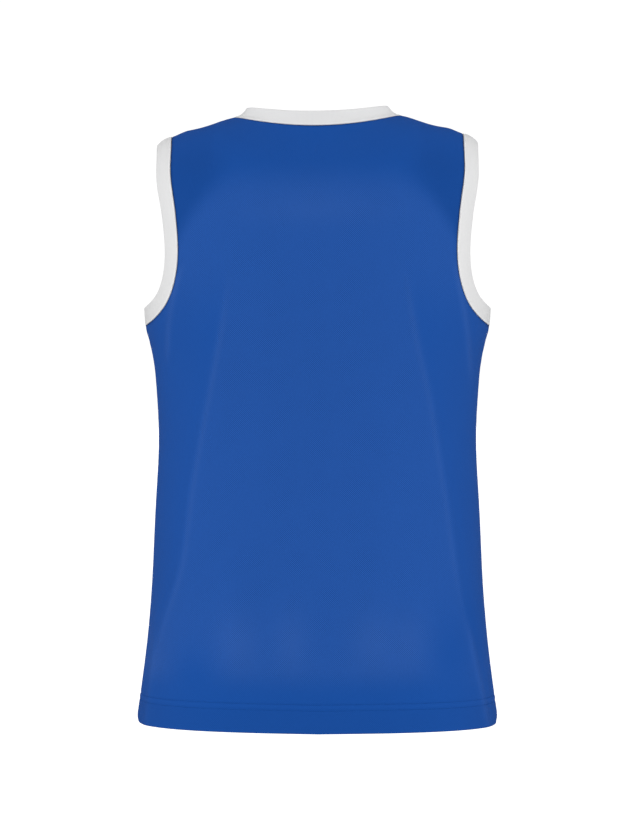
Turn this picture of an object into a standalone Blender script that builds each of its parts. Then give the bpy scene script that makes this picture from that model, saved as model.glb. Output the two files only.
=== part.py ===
"""A sleeveless basketball jersey, filled out as when worn but with nobody in it.

Five pieces of knitted cloth: a back panel, a front panel, a rib band round the neckline
and one round each armhole. The panels meet at the shoulder and side seams, and the
bands continue the panels' edges. The garment is hollow, with its neck, hem and armholes
open.

The origin lies midway between the high shoulder points, where the straps meet the neck.
+X is the wearer's right, +Y the wearer's front and +Z is up. All sizes are in metres and
are those of the face of the cloth that lies towards the wearer.
"""

import math
from collections import namedtuple

import bpy
import numpy as np

# --- Driving dimensions ------------------------------------------------------------

PANEL_WALL = 0.0012         # thickness of the panels' knit
BAND_WALL = 0.0019          # thickness of the doubled rib
SEAM_GAP = 0.0003           # clearance between two pieces along a seam
NECK_BAND_WIDTH = 0.0190
ARMHOLE_BAND_WIDTH = 0.0195
HEM_DROP = 0.0032           # how far the middle of the hem hangs below its sides
SHOULDER_TILT = 0.0085      # rise per metre towards +X: the garment hangs a little askew
TILT_FADE_HEIGHT = -0.26    # height where that tilt has faded out

# --- The net of a panel ------------------------------------------------------------

HALF_COLUMNS = 14           # columns of faces from the middle of a panel to its edge
STRAP_COLUMN = 9            # the column that runs up to the high shoulder point
ROW_STEP = 0.025            # largest height of a row of faces
ARMHOLE_STEP = 0.014        # the same from the underarm to half the armhole's height
CREST_STEPS = 7             # rows of faces that carry the cloth over the shoulder
BAND_STEPS = 3              # rows of faces across a band
BOW_SAMPLES = 600           # points that measure the length of a row's bow
SMOOTH_ANGLE = 50.0         # degrees between faces, above which their edge stays sharp

# The form of the body at heights from the hem to half the armhole's height. half_width is
# the half width that the cloth would have if it reached the plane of the side seams, as it
# does up to the underarm. back and front are how far it bows out behind and before that
# plane, and square is the exponent of its superellipse: 2 is an ellipse, more is squarer.
Level = namedtuple("Level", "name height half_width back front square")
BODY = (
    Level("hem", -0.7035, 0.2098, 0.1490, 0.1400, 2.50),
    Level("seat", -0.6380, 0.2003, 0.1460, 0.1360, 2.45),
    Level("hip", -0.5600, 0.1928, 0.1390, 0.1310, 2.40),
    Level("loin", -0.4500, 0.1874, 0.1300, 0.1250, 2.30),
    Level("waist", -0.3750, 0.1842, 0.1255, 0.1222, 2.22),
    Level("waist_top", -0.3200, 0.1868, 0.1275, 0.1240, 2.15),
    Level("ribs", -0.2855, 0.1905, 0.1298, 0.1265, 2.10),
    Level("underarm", -0.2460, 0.1992, 0.1320, 0.1290, 2.05),
    Level("chest", -0.1950, 0.2062, 0.1318, 0.1272, 2.05),
    Level("blade", -0.1300, 0.2095, 0.1250, 0.1120, 2.05),
)
UNDERARM = 7                # the level where the side seams end

# Rows from the underarm up to half the armhole's height. A row runs from the middle of
# the panel, at middle_z, to the armhole.
Row = namedtuple("Row", "name edge_x edge_z middle_z")
BACK_ROWS = (
    Row("underarm_turn", 0.1870, -0.2393, -0.2320),
    Row("armhole_low", 0.1728, -0.2240, -0.2120),
    Row("armhole_rise", 0.1625, -0.1990, -0.1900),
    Row("blade_low", 0.1583, -0.1650, -0.1620),
    Row("blade", 0.1602, -0.1300, -0.1320),
)
FRONT_ROWS = (
    Row("underarm_turn", 0.1865, -0.2400, -0.2370),
    Row("armhole_low", 0.1705, -0.2260, -0.2230),
    Row("armhole_rise", 0.1590, -0.2010, -0.2070),
    Row("breast_low", 0.1520, -0.1670, -0.1870),
    Row("breast", 0.1505, -0.1320, -0.1660),
)

# --- The top line: neckline and shoulder seams -------------------------------------

HIGH_SHOULDER = (0.0975, 0.0080, 0.0004)
SHOULDER_TIP = (0.1690, 0.0080, -0.0240)

# The depth and height of the neckline's middle, and the powers of a cosine by which they
# run out to the high shoulder point: a larger power curves more at the bottom.
Neckline = namedtuple("Neckline", "depth height depth_power height_power")
BACK_NECKLINE = Neckline(0.0560, -0.0165, 0.95, 1.40)
FRONT_NECKLINE = Neckline(0.0860, -0.1080, 0.80, 1.00)

# The direction, as (outwards, away from the side seams' plane, up), in which the cloth
# arrives at the top line: at the neckline's middle, the high shoulder point and the tip.
Arrival = namedtuple("Arrival", "middle high_shoulder tip")
BACK_ARRIVAL = Arrival((0.0, -0.52, 0.86), (-0.66, -0.70, 0.12), (-0.05, -0.96, -0.24))
FRONT_ARRIVAL = Arrival((0.0, -0.40, 0.92), (-0.60, -0.62, 0.30), (-0.05, -0.96, 0.24))
ARRIVAL_PULL = 1.05         # length of the end tangents, as a share of the chord

# --- Bands -------------------------------------------------------------------------

# How much a band turns away from the cloth that it continues, as a length added to its
# unit direction: upwards at the back, sides and front of the neck, downwards at the
# shoulder tip, and in towards the arm along the armhole.
NECK_BACK_LIFT = 0.60
NECK_SIDE_LIFT = 0.40
NECK_FRONT_LIFT = 0.15
ARMHOLE_TIP_DROOP = 0.25
ARMHOLE_TIP_REACH = 0.09    # height below the shoulder tip where the droop has ended
ARMHOLE_HUG = 0.10
ARMHOLE_HUG_DEPTH = 0.05    # depth from the side seams' plane where the hug is full
UNDERARM_FLARE = 0.36       # outwards, where the band passes under the arm
UNDERARM_REACH = 0.06       # height above the underarm where the flare has ended

# --- Folds -------------------------------------------------------------------------

# The largest folds. across is a fraction of the way from the panel's middle to its edge,
# positive towards +X, at the fold's top and at its foot. width is the half breadth of
# the fold and height is how far it stands out.
Fold = namedtuple("Fold", "panel top_across top_z foot_across foot_z width height")
FOLDS = (
    Fold("back", -0.56, -0.170, -0.70, -0.640, 0.030, 0.0040),
    Fold("back", 0.53, -0.165, 0.69, -0.640, 0.030, 0.0036),
    Fold("back", -0.34, -0.500, -0.31, -0.760, 0.024, 0.0028),
    Fold("back", -0.14, -0.520, -0.12, -0.760, 0.022, 0.0022),
    Fold("back", 0.20, -0.510, 0.21, -0.760, 0.026, 0.0028),
    Fold("back", 0.38, -0.530, 0.40, -0.760, 0.022, 0.0022),
    Fold("front", -0.50, -0.190, -0.66, -0.640, 0.032, 0.0038),
    Fold("front", 0.54, -0.200, 0.68, -0.620, 0.030, 0.0040),
    Fold("front", -0.30, -0.480, -0.26, -0.760, 0.026, 0.0028),
    Fold("front", 0.06, -0.520, 0.04, -0.760, 0.024, 0.0022),
    Fold("front", 0.34, -0.500, 0.32, -0.760, 0.026, 0.0026),
)
FOLD_EDGE = 0.12            # share of a panel, next to its edges, where folds die out
FOLD_END = 1.0 / 3.0        # share of a fold's length over which each of its ends rises

# --- Colours and finish ------------------------------------------------------------

ROYAL_BLUE = (0.018, 0.085, 0.350, 1.0)
PALE_RIB = (0.760, 0.760, 0.780, 1.0)
KNIT_ROUGHNESS = 0.75
RIB_ROUGHNESS = 0.85


def remove_all_objects():
    """Empty the scene."""
    for old in list(bpy.data.objects):
        bpy.data.objects.remove(old, do_unlink=True)


def make_material(name, colour, roughness):
    """A plain cloth material."""
    material = bpy.data.materials.new(name)
    material.use_nodes = True
    shader = material.node_tree.nodes["Principled BSDF"]
    shader.inputs["Base Color"].default_value = colour
    shader.inputs["Roughness"].default_value = roughness
    shader.inputs["Metallic"].default_value = 0.0
    return material


# --- Arithmetic --------------------------------------------------------------------


def unit(vectors):
    """Vectors of length one, along the last axis."""
    vectors = np.asarray(vectors, dtype=float)
    lengths = np.linalg.norm(vectors, axis=-1, keepdims=True)
    return vectors / np.maximum(lengths, 1e-12)


def smooth_step(value):
    """0 below 0, 1 above 1 and smooth between."""
    value = np.clip(value, 0.0, 1.0)
    return value * value * (3.0 - 2.0 * value)


def spline_bends(knots, values):
    """Second derivatives, at its knots, of the natural cubic spline through values."""
    count = len(knots)
    gaps = np.diff(knots)
    slopes = np.diff(values) / gaps
    system = np.eye(count)
    target = np.zeros(count)
    for i in range(1, count - 1):
        system[i, i - 1:i + 2] = gaps[i - 1], 2.0 * (gaps[i - 1] + gaps[i]), gaps[i]
        target[i] = 6.0 * (slopes[i] - slopes[i - 1])
    return np.linalg.solve(system, target)


def spline(knots, values, places):
    """The natural cubic spline through values, one at each knot, read at places."""
    knots = np.asarray(knots, dtype=float)
    values = np.asarray(values, dtype=float)
    places = np.asarray(places, dtype=float)
    bends = spline_bends(knots, values)
    i = np.clip(np.searchsorted(knots, places) - 1, 0, len(knots) - 2)
    gap = knots[i + 1] - knots[i]
    before = knots[i + 1] - places
    after = places - knots[i]
    curve = (bends[i] * before ** 3 + bends[i + 1] * after ** 3) / (6.0 * gap)
    low = (values[i] / gap - bends[i] * gap / 6.0) * before
    high = (values[i + 1] / gap - bends[i + 1] * gap / 6.0) * after
    return curve + low + high


def net_normals(net):
    """Unit normals at the points of a net, each the mean of the faces round it."""
    faces = unit(np.cross(net[1:, 1:] - net[:-1, :-1], net[1:, :-1] - net[:-1, 1:]))
    total = np.zeros(net.shape)
    for rows in (slice(None, -1), slice(1, None)):
        for columns in (slice(None, -1), slice(1, None)):
            total[rows, columns] += faces
    return unit(total)


# --- Panels ------------------------------------------------------------------------


def panel_rows(panel):
    """The panel's rows from the hem up to half the armhole's height."""
    rows = [Row(level.name, level.half_width, level.height, level.height)
            for level in BODY[:UNDERARM + 1]]
    rows.extend(FRONT_ROWS if panel == "front" else BACK_ROWS)
    return rows


def body_form(panel, heights):
    """Half width, depth and squareness of the body's bow at the given heights."""
    knots = [level.height for level in BODY]
    return [spline(knots, [getattr(level, column) for level in BODY], heights)
            for column in ("half_width", panel, "square")]


def bow_depth(x, half_width, depth, square):
    """Depth of a superellipse at x, and half a seam's gap where it has none."""
    share = np.clip(1.0 - (x / half_width) ** square, 0.0, 1.0)
    return np.maximum(depth * share ** (1.0 / square), SEAM_GAP / 2.0)


def bow_angles(across, half_width, depth, square, edge_depth):
    """Angles on a superellipse, even along its arc from the middle to edge_depth."""
    power = 2.0 / square
    end_angle = math.acos((edge_depth / depth) ** (1.0 / power))
    angles = np.linspace(0.0, end_angle, BOW_SAMPLES)
    arc_x = half_width * np.sin(angles) ** power
    arc_depth = depth * np.cos(angles) ** power
    steps = np.hypot(np.diff(arc_x), np.diff(arc_depth))
    lengths = np.concatenate(([0.0], np.cumsum(steps)))
    return np.interp(np.abs(across) * lengths[-1], lengths, angles)


def row_places(knots):
    """Places of the net's rows: every knot, and even steps between two of them."""
    places = [knots[0]]
    for i in range(len(knots) - 1):
        step = ROW_STEP if i < UNDERARM else ARMHOLE_STEP
        count = max(1, math.ceil((knots[i + 1] - knots[i]) / step - 0.25))
        places.extend(np.linspace(knots[i], knots[i + 1], count + 1)[1:])
    return np.array(places)


def with_corner(knots, values, places):
    """Values read at places, straight up to the underarm and a spline from there."""
    straight = np.interp(places, knots[:UNDERARM + 1], values[:UNDERARM + 1])
    curved = spline(knots[UNDERARM:], values[UNDERARM:], places)
    return np.where(places <= knots[UNDERARM], straight, curved)


def body_net(panel, across):
    """The net from the hem to half the armhole's height, and its row at the underarm.

    The form of the cloth depends on height alone, so it stays smooth where the panel's
    edge turns from the side seam to the armhole.
    """
    rows = panel_rows(panel)
    edge_x = np.array([row.edge_x for row in rows])
    edge_z = np.array([row.edge_z for row in rows])
    middle_z = np.array([row.middle_z for row in rows])
    edge_depth = bow_depth(edge_x, *body_form(panel, edge_z))
    edge = np.stack((edge_x, edge_depth, edge_z), axis=-1)
    middle = np.stack((body_form(panel, middle_z)[1], middle_z), axis=-1)
    lifts = np.linalg.norm(np.diff(edge, axis=0), axis=1)
    lifts = (lifts + np.linalg.norm(np.diff(middle, axis=0), axis=1)) / 2.0
    knots = np.concatenate(([0.0], np.cumsum(lifts)))
    places = row_places(knots)
    net = []
    for middle_height, side_height, side_x, place in zip(
            spline(knots, middle_z, places), with_corner(knots, edge_z, places),
            with_corner(knots, edge_x, places), places):
        z = middle_height + (side_height - middle_height) * across ** 2
        width, depth, square = body_form(panel, z)
        side = (width[-1], depth[-1], square[-1])
        seam = place <= knots[UNDERARM]
        side_depth = SEAM_GAP / 2.0 if seam else float(bow_depth(side_x, *side))
        angle = bow_angles(across, *side, side_depth)
        x = np.sign(across) * width * np.sin(angle) ** (2.0 / square)
        net.append(np.stack((x, depth * np.cos(angle) ** (2.0 / square), z), axis=-1))
    net = np.array(net)
    net[0, :, 2] -= HEM_DROP * (1.0 - np.abs(across)) ** 2
    return net, int(np.sum(places <= knots[UNDERARM])) - 1


def top_line(across, neckline, toward):
    """The panel's top edge: shoulder seam, neckline and shoulder seam."""
    strap = STRAP_COLUMN / HALF_COLUMNS
    seam_depth = toward * HIGH_SHOULDER[1] + SEAM_GAP / 2.0
    turn = np.clip(np.abs(across) / strap, 0.0, 1.0) * math.pi / 2.0
    scoop = np.where(np.abs(across) < strap - 1e-9, np.cos(turn), 0.0)
    out = np.clip((np.abs(across) - strap) / (1.0 - strap), 0.0, 1.0)
    x = HIGH_SHOULDER[0] * np.sin(turn) + (SHOULDER_TIP[0] - HIGH_SHOULDER[0]) * out
    depth = seam_depth + (neckline.depth - seam_depth) * scoop ** neckline.depth_power
    dip = (neckline.height - HIGH_SHOULDER[2]) * scoop ** neckline.height_power
    z = HIGH_SHOULDER[2] + dip + (SHOULDER_TIP[2] - HIGH_SHOULDER[2]) * out
    return np.stack((np.sign(across) * x, depth, z), axis=-1)


def arrival_directions(across, arrival):
    """The direction of each column where it reaches the top line."""
    strap = STRAP_COLUMN / HALF_COLUMNS
    turn = np.clip(np.abs(across) / strap, 0.0, 1.0)[:, None] * math.pi / 2.0
    out = np.clip((np.abs(across) - strap) / (1.0 - strap), 0.0, 1.0)[:, None]
    inner = np.array(arrival.middle) * np.cos(turn)
    inner = inner + np.array(arrival.high_shoulder) * np.sin(turn)
    directions = unit(inner) * (1.0 - out) + unit(arrival.tip) * out
    directions[:, 0] *= np.sign(across)
    return unit(directions)


def crest_net(lower, upper, top, directions):
    """Rows that carry the cloth from the row called upper over the shoulder to top."""
    chord = np.linalg.norm(top - upper, axis=-1, keepdims=True)
    start = unit(upper - lower) * chord * ARRIVAL_PULL
    end = directions * chord * ARRIVAL_PULL
    rows = []
    for step in range(1, CREST_STEPS + 1):
        t = step / CREST_STEPS
        row = (2.0 * t ** 3 - 3.0 * t ** 2 + 1.0) * upper
        row = row + (t ** 3 - 2.0 * t ** 2 + t) * start
        row = row + (3.0 * t ** 2 - 2.0 * t ** 3) * top
        row = row + (t ** 3 - t ** 2) * end
        rows.append(row)
    return np.array(rows)


def add_folds(net, across, panel):
    """Move the net's points out along its folds."""
    normals = net_normals(net)
    half_lengths = np.linalg.norm(np.diff(net, axis=1), axis=-1).sum(axis=1) / 2.0
    heights = net[..., 2]
    rise = np.zeros(heights.shape)
    for fold in FOLDS:
        if fold.panel != panel:
            continue
        run = np.clip((fold.top_z - heights) / (fold.top_z - fold.foot_z), 0.0, 1.0)
        centre = fold.top_across + (fold.foot_across - fold.top_across) * run
        away = (across[None, :] - centre) * half_lengths[:, None]
        fade = smooth_step(run / FOLD_END) * smooth_step((1.0 - run) / FOLD_END)
        rise += fold.height * fade * np.exp(-((away / fold.width) ** 2))
    rise *= smooth_step((1.0 - np.abs(across)) / FOLD_EDGE)[None, :]
    return net + normals * rise[..., None]


def tilt(points):
    """Raise the shoulders a little towards +X."""
    share = smooth_step((points[..., 2] - TILT_FADE_HEIGHT) / -TILT_FADE_HEIGHT)
    tilted = points.copy()
    tilted[..., 2] += SHOULDER_TILT * points[..., 0] * share
    return tilted


def panel_net(panel):
    """The net of one panel's points, from the hem up, and its row at the underarm."""
    toward = 1.0 if panel == "front" else -1.0
    neckline = FRONT_NECKLINE if panel == "front" else BACK_NECKLINE
    arrival = FRONT_ARRIVAL if panel == "front" else BACK_ARRIVAL
    across = np.arange(-HALF_COLUMNS, HALF_COLUMNS + 1) / HALF_COLUMNS
    body, underarm = body_net(panel, across)
    top = top_line(across, neckline, toward)
    crest = crest_net(body[-2], body[-1], top, arrival_directions(across, arrival))
    net = np.concatenate((body, crest))
    net[..., 1] *= toward
    if panel == "front":
        net = net[:, ::-1]
        across = across[::-1]
    return tilt(add_folds(net, across, panel)), underarm


# --- Bands -------------------------------------------------------------------------


def joined_loop(first, second):
    """A closed loop along first and on along second, each end shared with the other."""
    start = (first[0] + second[-1]) / 2.0
    turn = (first[-1] + second[0]) / 2.0
    return np.vstack((start, first[1:-1], turn, second[1:-1]))


def neckline_edge(net):
    """The part of a net's top row that lies on the neckline."""
    first = HALF_COLUMNS - STRAP_COLUMN
    return net[-1, first:first + 2 * STRAP_COLUMN + 1]


def band_net(loop, normals, lifts, width):
    """Rows of points that continue the cloth past a closed edge, turning by lifts."""
    along = unit(np.roll(loop, -1, axis=0) - np.roll(loop, 1, axis=0))
    outward = unit(np.cross(normals, along))
    centre = loop.mean(axis=0)
    if np.sum(outward * (centre - loop)) < 0.0:
        outward = -outward
    overhang = np.maximum(np.sum(normals * outward, axis=-1, keepdims=True), 0.0)
    row = loop + outward * (SEAM_GAP + overhang * PANEL_WALL)
    rows = [row]
    for step in range(BAND_STEPS):
        turn = 2.0 * step / (BAND_STEPS - 1)
        row = row + unit(outward + lifts * turn) * width / BAND_STEPS
        rows.append(row)
    net = np.array(rows)
    along = np.roll(net[0], -1, axis=0) - net[0]
    if np.sum(np.cross(along, net[1] - net[0]) * normals) < 0.0:
        net = net[:, ::-1]
    return net


def neck_lifts(loop):
    """How much the neck band turns up at each point of the neckline."""
    depth = loop[:, 1] - HIGH_SHOULDER[1]
    back_share = np.clip(-depth / BACK_NECKLINE.depth, 0.0, 1.0)
    front_share = np.clip(depth / FRONT_NECKLINE.depth, 0.0, 1.0)
    lifts = np.zeros(loop.shape)
    lifts[:, 2] = NECK_SIDE_LIFT
    lifts[:, 2] += (NECK_BACK_LIFT - NECK_SIDE_LIFT) * back_share
    lifts[:, 2] += (NECK_FRONT_LIFT - NECK_SIDE_LIFT) * front_share
    return lifts


def armhole_lifts(loop):
    """How an armhole band droops at the shoulder tip and closes in on the arm."""
    top = smooth_step(1.0 - (SHOULDER_TIP[2] - loop[:, 2]) / ARMHOLE_TIP_REACH)
    low = smooth_step(1.0 - (loop[:, 2] - BODY[UNDERARM].height) / UNDERARM_REACH)
    sway = np.clip(loop[:, 1] / ARMHOLE_HUG_DEPTH, -1.0, 1.0)
    lifts = np.zeros(loop.shape)
    lifts[:, 0] = UNDERARM_FLARE * np.sign(loop[:, 0]) * low
    lifts[:, 1] = -ARMHOLE_HUG * sway * (1.0 - top)
    lifts[:, 2] = -ARMHOLE_TIP_DROOP * top
    return lifts


# --- Pieces ------------------------------------------------------------------------


def net_mesh(name, net, closed):
    """An open surface over a net of points; closed joins its last column to its first."""
    row_count, column_count = net.shape[:2]
    faces = []
    for row in range(row_count - 1):
        low = row * column_count
        high = low + column_count
        for column in range(column_count if closed else column_count - 1):
            after = (column + 1) % column_count
            faces.append((low + column, low + after, high + after, high + column))
    mesh = bpy.data.meshes.new(name)
    mesh.from_pydata(net.reshape(-1, 3).tolist(), [], faces)
    return mesh


def make_piece(name, net, closed, wall, material, collection):
    """A piece of cloth: a surface over its net, thickened away from the wearer."""
    mesh = net_mesh(name, net, closed)
    mesh.materials.append(material)
    mesh.shade_smooth()
    mesh.set_sharp_from_angle(angle=math.radians(SMOOTH_ANGLE))
    piece = bpy.data.objects.new(name, mesh)
    collection.objects.link(piece)
    shell = piece.modifiers.new("cloth", "SOLIDIFY")
    shell.thickness = wall
    shell.offset = 1.0
    shell.use_even_offset = True
    shell.use_rim = True


def build():
    """Make the five pieces of the jersey."""
    remove_all_objects()
    collection = bpy.data.collections.new("basketball_jersey")
    bpy.context.scene.collection.children.link(collection)
    blue = make_material("blue_knit", ROYAL_BLUE, KNIT_ROUGHNESS)
    pale = make_material("pale_rib", PALE_RIB, RIB_ROUGHNESS)

    back, back_row = panel_net("back")
    front, front_row = panel_net("front")
    make_piece("back_panel", back, False, PANEL_WALL, blue, collection)
    make_piece("front_panel", front, False, PANEL_WALL, blue, collection)

    back_facing = net_normals(back)
    front_facing = net_normals(front)
    loop = joined_loop(neckline_edge(back), neckline_edge(front))
    facing = unit(joined_loop(neckline_edge(back_facing), neckline_edge(front_facing)))
    net = band_net(loop, facing, neck_lifts(loop), NECK_BAND_WIDTH)
    make_piece("neck_band", net, True, BAND_WALL, pale, collection)

    # The back's columns run towards +X and the front's towards -X.
    for side, back_column, front_column in (("right", -1, 0), ("left", 0, -1)):
        loop = joined_loop(back[back_row:, back_column],
                           front[front_row:, front_column][::-1])
        facing = unit(joined_loop(back_facing[back_row:, back_column],
                                  front_facing[front_row:, front_column][::-1]))
        net = band_net(loop, facing, armhole_lifts(loop), ARMHOLE_BAND_WIDTH)
        make_piece("armhole_band_" + side, net, True, BAND_WALL, pale, collection)


build()
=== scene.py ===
import math
from collections import namedtuple
from functools import partial, reduce

import bpy
import numpy as np
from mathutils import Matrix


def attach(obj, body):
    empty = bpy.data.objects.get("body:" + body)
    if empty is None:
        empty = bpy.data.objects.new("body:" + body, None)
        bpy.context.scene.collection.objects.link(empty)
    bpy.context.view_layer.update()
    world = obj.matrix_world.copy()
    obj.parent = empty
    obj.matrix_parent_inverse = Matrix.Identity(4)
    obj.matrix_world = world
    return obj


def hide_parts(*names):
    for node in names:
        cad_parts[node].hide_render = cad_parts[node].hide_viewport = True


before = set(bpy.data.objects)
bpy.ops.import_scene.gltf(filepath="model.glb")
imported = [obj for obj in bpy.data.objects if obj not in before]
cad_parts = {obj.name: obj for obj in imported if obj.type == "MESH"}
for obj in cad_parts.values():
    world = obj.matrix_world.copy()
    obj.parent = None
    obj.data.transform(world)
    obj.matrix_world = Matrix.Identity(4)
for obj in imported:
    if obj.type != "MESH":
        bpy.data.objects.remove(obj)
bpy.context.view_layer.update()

# A sleeveless basketball jersey, filled out as when worn but with nobody in it.
#
# The panels and bands follow the forms of the solids that they replace, on much finer
# nets that hold the rolled seams, the turned hem, the creases and the puckers. The knit
# itself is in the materials, which read a map of the cloth laid out in metres.
#
# +X is the wearer's right, +Y the wearer's front and +Z up. All sizes are in metres.

# --- Driving dimensions ---

# These are the solids' own, but for a few at the shoulders, the hem and the bands' lean
# that come some millimetres closer to the garment.
PANEL_WALL = 0.0012
BAND_WALL = 0.0019
SEAM_GAP = 0.0003
NECK_BAND_WIDTH = 0.0190
ARMHOLE_BAND_WIDTH = 0.0195
HEM_DROP = 0.0022
HEM_SIDE_DROP = 0.0038
HEM_TILT = 0.0012           # how much lower the hem is at its +X end, and higher at the other
HEM_DROP_FADE = 0.09
SHOULDER_TILT = 0.0120
TILT_FADE_HEIGHT = -0.26
STRAP = 9.0 / 14.0          # share of a half panel that the neckline takes
HAIR = 1e-9                 # what rounding may add to a length

Level = namedtuple("Level", "name height half_width back front square")
BODY = (
    Level("hem", -0.7035, 0.2098, 0.1490, 0.1400, 2.50),
    Level("seat", -0.6380, 0.2003, 0.1460, 0.1360, 2.45),
    Level("hip", -0.5600, 0.1928, 0.1390, 0.1310, 2.40),
    Level("loin", -0.4500, 0.1874, 0.1300, 0.1250, 2.30),
    Level("waist", -0.3750, 0.1842, 0.1255, 0.1222, 2.22),
    Level("waist_top", -0.3200, 0.1868, 0.1275, 0.1240, 2.15),
    Level("ribs", -0.2855, 0.1905, 0.1298, 0.1265, 2.10),
    Level("underarm", -0.2460, 0.1992, 0.1320, 0.1290, 2.05),
    Level("chest", -0.1950, 0.2062, 0.1318, 0.1272, 2.05),
    Level("blade", -0.1300, 0.2095, 0.1250, 0.1120, 2.05),
)
UNDERARM = 7

Row = namedtuple("Row", "name edge_x edge_z middle_z")
BACK_ROWS = (
    Row("underarm_turn", 0.1870, -0.2393, -0.2320),
    Row("armhole_low", 0.1728, -0.2240, -0.2120),
    Row("armhole_rise", 0.1625, -0.1990, -0.1900),
    Row("blade_low", 0.1583, -0.1650, -0.1620),
    Row("blade", 0.1602, -0.1300, -0.1320),
)
FRONT_ROWS = (
    Row("underarm_turn", 0.1865, -0.2400, -0.2370),
    Row("armhole_low", 0.1705, -0.2260, -0.2230),
    Row("armhole_rise", 0.1590, -0.2010, -0.2070),
    Row("breast_low", 0.1520, -0.1670, -0.1870),
    Row("breast", 0.1505, -0.1320, -0.1660),
)

HIGH_SHOULDER = (0.0975, 0.0080, -0.0018)
SHOULDER_TIP = (0.1690, 0.0080, -0.0262)
Neckline = namedtuple("Neckline", "depth height depth_power height_power")
BACK_NECKLINE = Neckline(0.0560, -0.0181, 0.95, 1.90)
FRONT_NECKLINE = Neckline(0.0860, -0.1080, 0.80, 1.00)
Arrival = namedtuple("Arrival", "middle high_shoulder tip")
BACK_ARRIVAL = Arrival((0.0, -0.52, 0.86), (-0.66, -0.70, 0.12), (-0.05, -0.96, -0.24))
FRONT_ARRIVAL = Arrival((0.0, -0.40, 0.92), (-0.60, -0.62, 0.30), (-0.05, -0.96, 0.24))
Panel = namedtuple("Panel", "toward rows neckline arrival")
PANELS = {"back": Panel(-1.0, BACK_ROWS, BACK_NECKLINE, BACK_ARRIVAL),
          "front": Panel(1.0, FRONT_ROWS, FRONT_NECKLINE, FRONT_ARRIVAL)}
ARRIVAL_PULL = 1.05
CORNER_REACH = 0.030        # breadth over which the corner at the high shoulder fades out

NECK_BACK_LIFT = 1.10
NECK_SIDE_LIFT = 0.50
NECK_FRONT_LIFT = 0.15
ARMHOLE_TIP_DROOP = 0.25
ARMHOLE_TIP_REACH = 0.09
ARMHOLE_HUG = 0.10
ARMHOLE_HUG_DEPTH = 0.05
UNDERARM_FLARE = 0.03
UNDERARM_REACH = 0.06

# --- Nets finer than the solids' ---

HALF_ARC = 0.262            # usual length of a row from the middle of a panel to its edge
CREST_CHORD = 0.140         # usual height of the rows above the armhole's middle
CELL = 0.0033               # usual size of a net's faces
BAND_CELL = 0.0018          # the same across a band
BAND_STEP = 0.0022          # and along it
EDGE_STEPS = (0.0, 0.0004, 0.0009, 0.0016, 0.0026, 0.0042, 0.0064)
CLOSE_ROWS = 0.014          # height above the underarm over which the rows are close,
CLOSE_STEP = 0.0007         # because the columns lean in steeply there
BOW_SAMPLES = 600
ARRIVAL_STEP = 0.012        # length over which the body's last rows give their direction

# --- Hem and seams ---

HEM_LINES = (0.0258, 0.0326)    # heights of the two needle lines above the hem's edge
HEM_TURN = 0.0355               # height of the raw edge of the turned-up hem, inside
HEM_TURN_WALL = 0.0009
NEEDLE_STEP = 0.0012            # rows of the net near the needle lines
NEEDLE_ROWS = (3.0, 4.0)        # how many lie below the lower line and above the higher
NEEDLE_GROOVE = 0.00055
NEEDLE_SPREAD = 0.0012
TUNNEL_RISE = 0.00025
TUNNEL_BREADTH = 0.30           # as a share of the way between the needle lines
SEAM_ROLL = 0.0016              # radius over which cloth rolls down into a seam
SEAM_EDGE = 0.00015             # what is left of the wall at a seam
HEM_ROLL = 0.0012
BAND_ROLL = 0.0012
SEAM_STAND = 0.6                # height of a band's edge at its seam, as a share of its full one
BAND_TURN = 3.0                 # how fast a band turns from its seam on,
BAND_STRAIGHT = 0.5             # less what it runs straight on at first
BAND_CROWN = 0.0005             # how much fuller a doubled band is in its middle
FRAME_REACH = 6                 # points either way over which a band's direction is evened


# --- Arithmetic ---


def unit(vectors):
    """Vectors of length one, along the last axis."""
    vectors = np.asarray(vectors, dtype=float)
    lengths = np.linalg.norm(vectors, axis=-1, keepdims=True)
    return vectors / np.maximum(lengths, 1e-12)


def smooth_step(value):
    """0 below 0, 1 above 1 and smooth between."""
    value = np.clip(value, 0.0, 1.0)
    return value * value * (3.0 - 2.0 * value)


def spline_bends(knots, values):
    """Second derivatives, at its knots, of the natural cubic spline through values."""
    count = len(knots)
    gaps = np.diff(knots)
    slopes = np.diff(values) / gaps
    system = np.eye(count)
    target = np.zeros(count)
    for i in range(1, count - 1):
        system[i, i - 1:i + 2] = gaps[i - 1], 2.0 * (gaps[i - 1] + gaps[i]), gaps[i]
        target[i] = 6.0 * (slopes[i] - slopes[i - 1])
    return np.linalg.solve(system, target)


def spline(knots, values, places):
    """The natural cubic spline through values, one at each knot, read at places."""
    knots = np.asarray(knots, dtype=float)
    values = np.asarray(values, dtype=float)
    places = np.asarray(places, dtype=float)
    bends = spline_bends(knots, values)
    i = np.clip(np.searchsorted(knots, places) - 1, 0, len(knots) - 2)
    gap = knots[i + 1] - knots[i]
    before = knots[i + 1] - places
    after = places - knots[i]
    curve = (bends[i] * before ** 3 + bends[i + 1] * after ** 3) / (6.0 * gap)
    low = (values[i] / gap - bends[i] * gap / 6.0) * before
    high = (values[i + 1] / gap - bends[i + 1] * gap / 6.0) * after
    return curve + low + high


def net_normals(net, closed=False):
    """Unit normals at the points of a net, each the mean of the faces round it."""
    if closed:
        net = np.concatenate((net[:, -1:], net, net[:, :1]), axis=1)
    faces = unit(np.cross(net[1:, 1:] - net[:-1, :-1], net[1:, :-1] - net[:-1, 1:]))
    total = np.zeros(net.shape)
    for rows in (slice(None, -1), slice(1, None)):
        for columns in (slice(None, -1), slice(1, None)):
            total[rows, columns] += faces
    normals = unit(total)
    return normals[:, 1:-1] if closed else normals


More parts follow.
